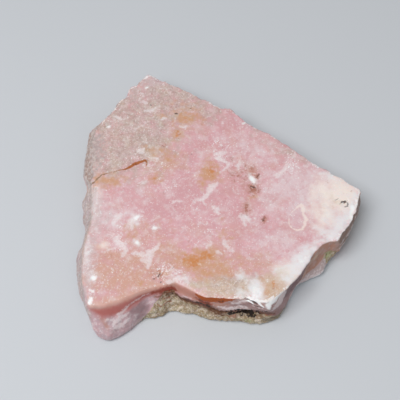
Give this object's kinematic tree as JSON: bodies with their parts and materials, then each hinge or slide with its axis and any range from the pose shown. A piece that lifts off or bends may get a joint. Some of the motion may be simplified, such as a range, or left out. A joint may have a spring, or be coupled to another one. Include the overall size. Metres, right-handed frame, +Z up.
{
  "type": "pink opal rough slab",
  "caption": "Rough slab of pink opal: a flat sawn upper face with white and rust-coloured stains, steep broken sides and a crumbly rind of host rock along its lower edge.",
  "frame": {"origin": "under the middle of the slab's bounding box, on the plane that the slab rests on", "axes": "+Z up out of the sawn face, +X towards the pointed right-hand corner, +Y towards the far corner, away from the notched front edge"},
  "size_m": [0.092, 0.0994, 0.0125],
  "materials": {
    "pink_opal": "satin sawn face, waxy breaks, matt crumbly rind"
  },
  "bodies": {
    "root": {"opal_slab": "pink_opal"}
  },
  "joints": []
}
